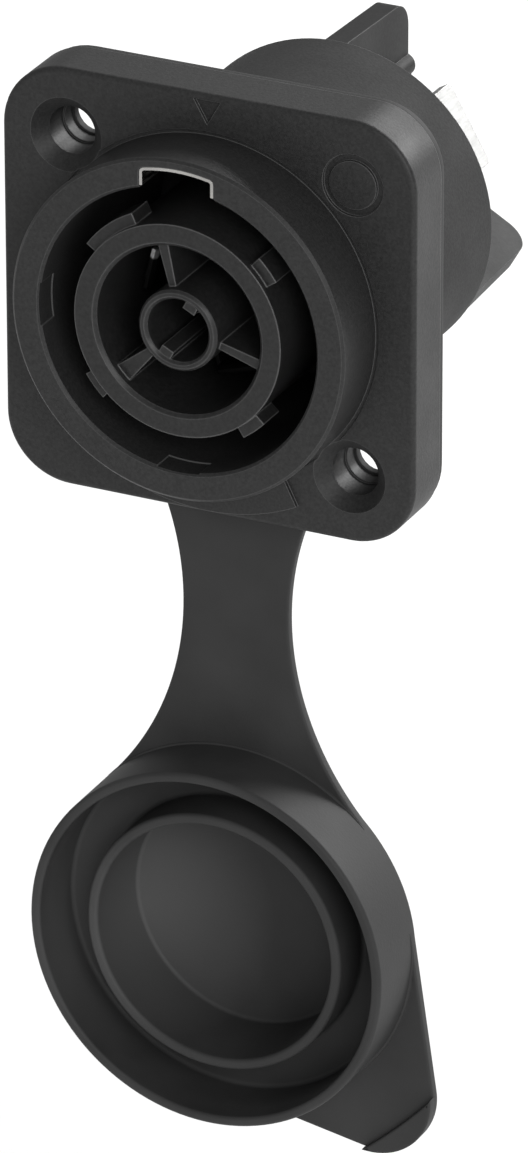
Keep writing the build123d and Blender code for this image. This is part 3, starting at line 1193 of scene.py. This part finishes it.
    def add_foot_bead(self, made: bmesh.types.BMesh, start: float, end: float) -> None:
        """Adds the fine bead between the cap's wall and a plate, thinning out at both ends.

        Args:
            made: the mesh that receives it, in metres.
            start: angle of its first end round the cap, in degrees.
            end: angle of its last end.
        """
        steps, sides = self.bead_steps, self.bead_sides
        rings = []
        for n in range(steps + 1):
            turn = math.radians(start + (end - start) * n / steps)
            size = self.foot_bead * min(1.0, self.bead_tip + self.bead_taper * min(n, steps - n) / steps)
            ring = []
            for x, y in arc((self.cap_radius, -self.plate_depth), size, 0, 360, sides)[:-1]:
                place = (x * math.cos(turn), y, x * math.sin(turn) + self.cap_z)
                ring.append(made.verts.new([value * MM for value in place]))
            rings.append(ring)
        for near, far in zip(rings, rings[1:]):
            for n in range(sides):
                made.faces.new((near[n - 1], near[n], far[n], far[n - 1]))
        made.faces.new(rings[0])
        made.faces.new(rings[-1])

    def cap_section(self) -> Section:
        """Half section of the cap, from the middle of its floor round to the middle of its back.

        Returns:
            The section.
        """
        dish = []
        for n in range(self.dish_steps):
            share = n / self.dish_steps
            dish.append((self.ring_inner * share, self.floor_depth + self.dish * (1 - share ** 2), 0.0))
        return Section(
            dish
            + [
                (self.ring_inner, self.floor_depth, self.floor_round),
                (self.ring_inner, self.ring_rim, self.ring_round),
                (self.ring_outer, self.ring_rim, self.ring_round),
                (self.ring_outer, self.channel_floor, self.floor_round),
                (self.cap_bore, self.channel_floor, self.floor_round),
                (self.cap_bore, self.rim, self.bore_round),
                (self.cap_radius, self.rim, self.rim_round),
                (self.cap_radius, 0.0, self.wall_foot_round),
                (self.back_radius, 0.0, self.back_foot_round),
                (self.back_radius, self.back_depth, self.back_round),
                (0.0, self.back_depth, 0.0),
            ]
        )

    def build(self) -> bpy.types.Object:
        """Builds the cover as one mesh, with a finer mesh across the strap between the socket and the cap.

        Returns:
            The finished piece.
        """
        material = self.rubber.material()
        cap = turned_recipe().run(
            "cap_shell",
            self.cap_section().mesh("cap_section"),
            Segments=self.cap_segments,
            Start_Turn=0.0,
            Sweep=math.tau,
            Axis_Height=self.cap_z * MM,
            Material=material,
        )
        made = bmesh.new()
        made.from_mesh(cap.data)
        bpy.data.objects.remove(cap)
        self.plate().add_to(made)
        SoftPlate(self.turned(self.hull_outline()), [], -self.plate_depth, -self.back_step).add_to(made)
        SoftPlate(
            self.turned(self.lip_outline()),
            [],
            -self.plate_depth - self.lip_height,
            self.lip_back,
        ).add_to(made)
        join = self.strap_side()[1]
        self.add_foot_bead(made, join, 180 - join)
        half = self.tab_half()
        self.add_foot_bead(made, self.tab_turn - half, self.tab_turn + half)
        cover = finished("sealing_cover", made, material)
        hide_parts("cover_gasket", "cover_cap")
        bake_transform(cover)
        report(cover)
        return cover


# Studio


@dataclass(frozen=True)
class Softbox:
    """Square soft light: place and side in metres, power in watts."""

    name: str
    place: tuple[float, float, float]
    side: float
    power: float


@dataclass
class Studio:
    """Plain pale floor, soft lights and the photograph's camera."""

    azimuth: float = 25.7841
    elevation: float = 25.3093
    roll: float = -0.0992
    focal_pixels: float = 10023.7
    image_height: float = 1153.0
    shift: tuple[float, float, float] = (-3.8174, 18.3578, -679.8215)
    measured_front: float = -4.9
    sensor: float = 36.0
    clip_near: float = 0.05
    clip_far: float = 20.0
    floor_z: float = -120.0
    floor_half: float = 4.0
    sky: float = 0.42
    aim: tuple[float, float, float] = (0.0, 0.0, -0.02)
    lights: tuple[Softbox, ...] = (
        Softbox("right_back_softbox", (0.46, 0.8, 0.35), 0.3, 6.2),
        Softbox("high_back_softbox", (0.05, 0.82, 0.55), 0.4, 4.3),
        Softbox("front_right_softbox", (0.6, -0.72, 0.36), 0.5, 5.0),
    )

    def camera(self) -> bpy.types.Object:
        """Places the camera where the photograph was taken from.

        Returns:
            The camera.
        """
        a, e, r = (math.radians(v) for v in (self.azimuth, self.elevation, self.roll))
        back = Vector((math.sin(a) * math.cos(e), -math.cos(a) * math.cos(e), math.sin(e)))
        level = Vector((math.cos(a), math.sin(a), 0.0))
        rise = back.cross(level)
        right = level * math.cos(r) + rise * math.sin(r)
        up = rise * math.cos(r) - level * math.sin(r)
        place = -(right * self.shift[0] + up * self.shift[1] + back * self.shift[2])
        place.y += self.measured_front
        data = bpy.data.cameras.new("photo_camera")
        data.sensor_width = self.sensor
        data.lens = self.sensor * self.focal_pixels / self.image_height
        data.clip_start, data.clip_end = self.clip_near, self.clip_far
        camera = bpy.data.objects.new("photo_camera", data)
        turn = Matrix((right, up, back)).transposed().to_4x4()
        camera.matrix_world = Matrix.Translation(place * MM) @ turn
        bpy.context.scene.collection.objects.link(camera)
        bpy.context.scene.camera = camera
        return camera

    def floor(self) -> bpy.types.Object:
        """Lays the floor under the object.

        Returns:
            The floor.
        """
        made = bmesh.new()
        bmesh.ops.create_grid(made, x_segments=2, y_segments=2, size=self.floor_half)
        for vert in made.verts:
            vert.co.z = self.floor_z * MM
        floor = finished("studio_floor", made, StudioFloor().material())
        if floor.data.polygons[0].normal.z < 0:
            floor.data.flip_normals()
        return floor

    def light(self, box: Softbox) -> bpy.types.Object:
        """Adds a square soft light that faces the socket.

        Args:
            box: its sizes and place.

        Returns:
            The light.
        """
        data = bpy.data.lights.new(box.name, "AREA")
        data.shape = "SQUARE"
        data.size = box.side
        data.energy = box.power
        light = bpy.data.objects.new(box.name, data)
        towards = Vector(self.aim) - Vector(box.place)
        turn = towards.to_track_quat("-Z", "Y").to_matrix().to_4x4()
        light.matrix_world = Matrix.Translation(box.place) @ turn
        bpy.context.scene.collection.objects.link(light)
        return light

    def build(self) -> None:
        """Builds the whole studio."""
        world = bpy.data.worlds.new("studio")
        world.use_nodes = True
        world.node_tree.nodes["Background"].inputs["Color"].default_value = grey(1.0)
        world.node_tree.nodes["Background"].inputs["Strength"].default_value = self.sky
        bpy.context.scene.world = world
        bpy.context.scene.view_settings.view_transform = "Standard"
        for box in self.lights:
            self.light(box)
        self.floor()
        self.camera()


def main() -> None:
    """Builds the pieces in order."""
    logging.basicConfig(level=logging.INFO, format="%(name)s %(message)s")
    SocketBody().dress()
    SpringClips().build()
    SealingCover().build()
    Studio().build()


if __name__ == "__main__":
    main()
